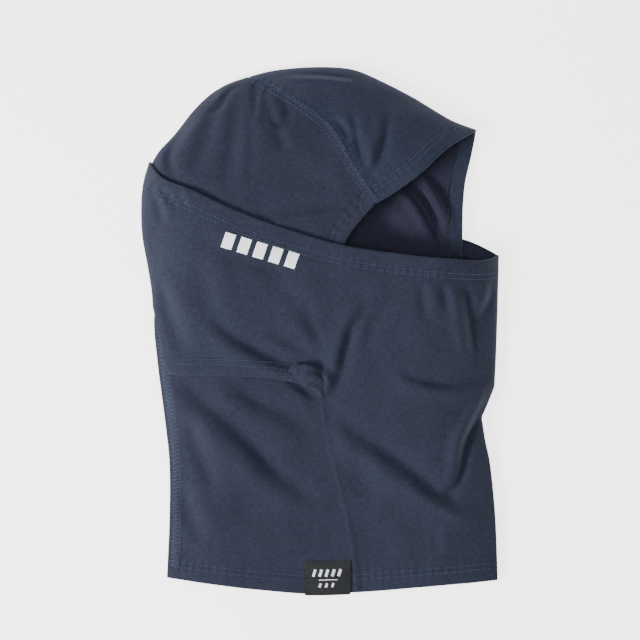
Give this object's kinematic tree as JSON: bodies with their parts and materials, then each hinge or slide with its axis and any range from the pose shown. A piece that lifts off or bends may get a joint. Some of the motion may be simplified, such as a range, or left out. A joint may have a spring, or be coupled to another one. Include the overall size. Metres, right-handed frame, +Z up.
{
  "type": "balaclava",
  "caption": "Stretch-jersey hinged ski balaclava laid flat on its side: hood, neck and a mask loop that pulls down from the nose to under the chin.",
  "frame": {"origin": "on the surface it lies on, under the middle of the garment's box", "axes": "+X is the way the face points, +Y points to the crown of the head, +Z is up from the surface, towards the wearer's right side"},
  "size_m": [0.284, 0.416, 0.0366],
  "materials": {
    "jersey_hood": "slate blue brushed stretch jersey",
    "jersey_crown": "slate blue brushed stretch jersey",
    "jersey_mask": "slate blue brushed stretch jersey",
    "jersey_neck": "slate blue brushed stretch jersey",
    "thread": "matt textured polyester thread",
    "woven_label": "black damask label",
    "satin_tape": "white printed-label satin, blank",
    "print_film": "white heat-transfer film"
  },
  "bodies": {
    "hood": {"crown_panel": "jersey_crown", "right_side_panel": "jersey_hood", "left_side_panel": "jersey_hood", "front_neck_panel": "jersey_neck", "brow_hem": "jersey_crown", "right_face_hem": "jersey_hood", "left_face_hem": "jersey_hood", "neck_hem": "jersey_neck", "right_crown_seam_thread": "thread", "left_crown_seam_thread": "thread", "back_seam_thread": "thread", "right_side_seam_thread": "thread", "left_side_seam_thread": "thread", "brow_hem_thread": "thread", "neck_hem_thread": "thread", "woven_label": "woven_label", "label_thread": "woven_label", "care_label": "satin_tape"},
    "mask": {"mask_band": "jersey_mask", "mask_top_hem": "jersey_mask", "mask_rear_hem": "jersey_mask", "mask_top_hem_thread": "thread", "mask_rear_hem_thread": "thread", "mask_back_seam_thread": "thread", "mask_print": "print_film", "right_hinge_tuck": "jersey_mask", "left_hinge_tuck": "jersey_mask"}
  },
  "joints": [
    {"name": "mask_pull_down", "type": "slide", "parent": "hood", "child": "mask", "axis": [0, -1, 0], "range_m": [0, 0.065]}
  ]
}
